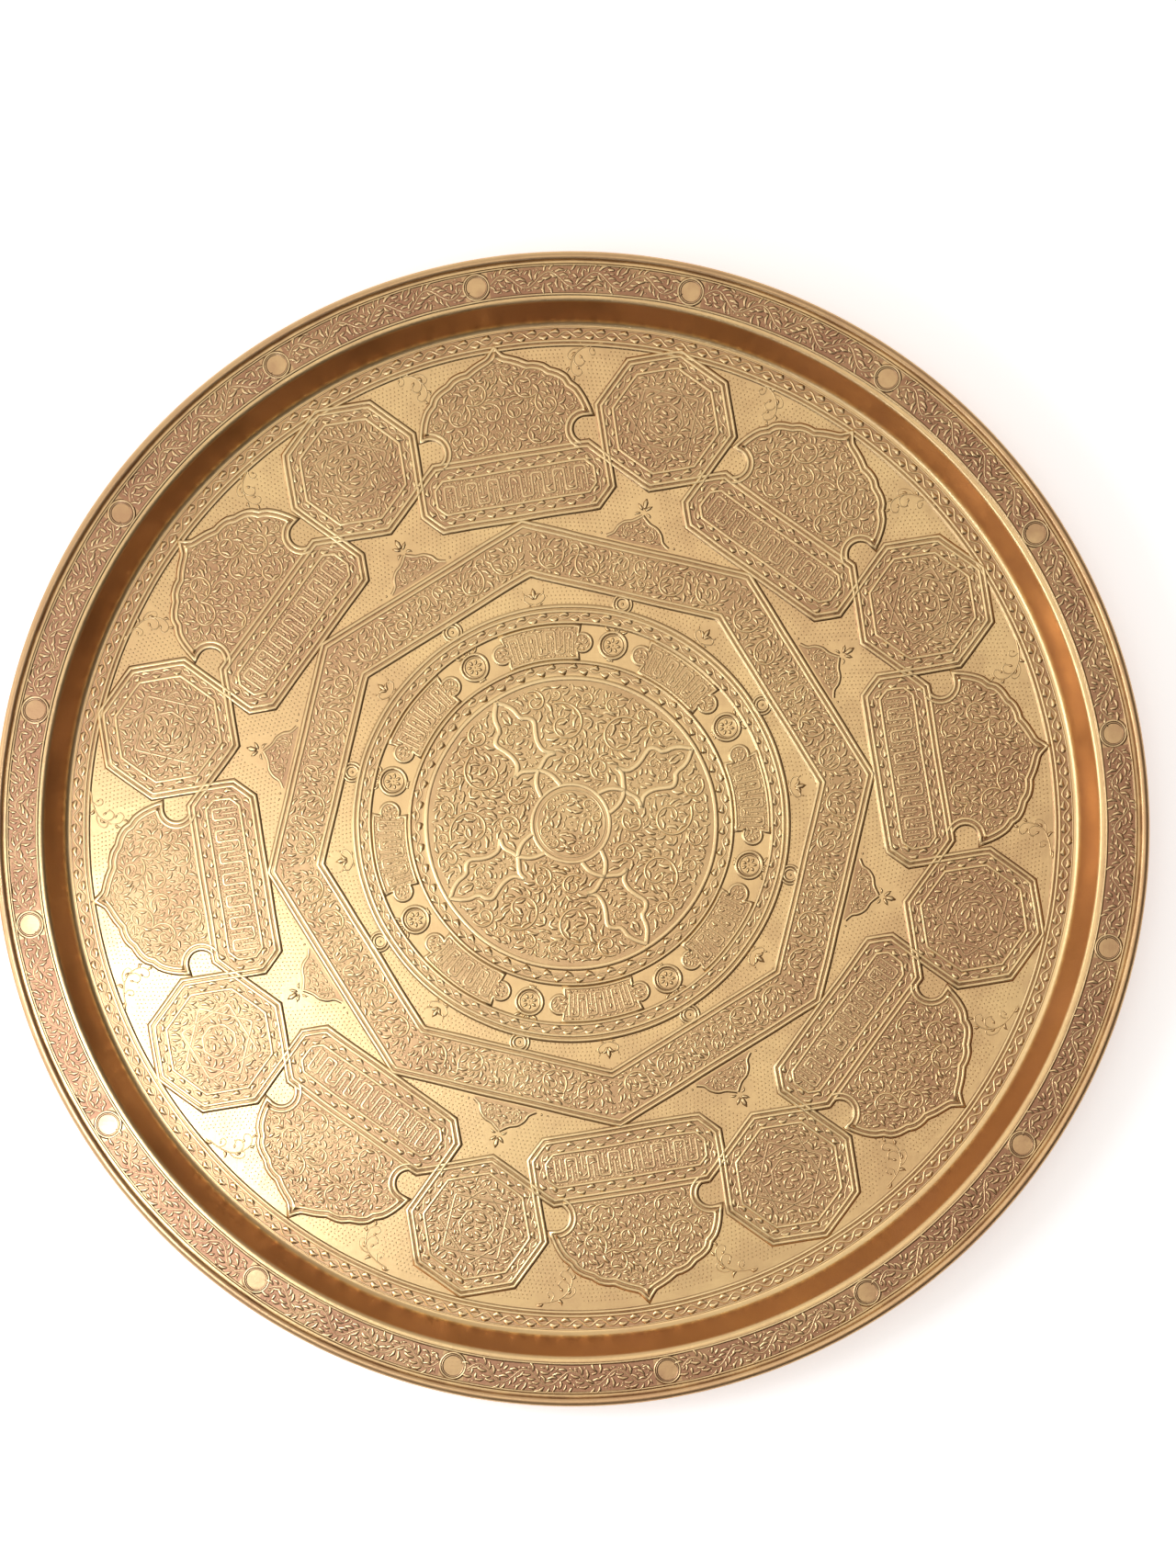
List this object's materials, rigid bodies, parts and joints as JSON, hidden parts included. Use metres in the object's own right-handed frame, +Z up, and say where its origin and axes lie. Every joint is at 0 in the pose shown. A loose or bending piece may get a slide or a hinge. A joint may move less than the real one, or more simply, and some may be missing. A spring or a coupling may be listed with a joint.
{
  "type": "round serving tray",
  "caption": "Large round brass tray: flat floor, sloping wall, flat flange and an edge rolled over a wire, with chased ornament.",
  "frame": {"origin": "centre of the floor's underside, where the tray rests on a table", "axes": "+Z up out of the well along the tray's axis; +X and +Y lie in the floor"},
  "size_m": [0.6, 0.6, 0.0247],
  "materials": {
    "sheet_brass": "hand-chased brass with a worn, slightly browned patina",
    "wire_brass": "drawn wire, dull and browned"
  },
  "bodies": {
    "root": {"tray_sheet": "sheet_brass", "rim_wire": "wire_brass"}
  },
  "joints": []
}
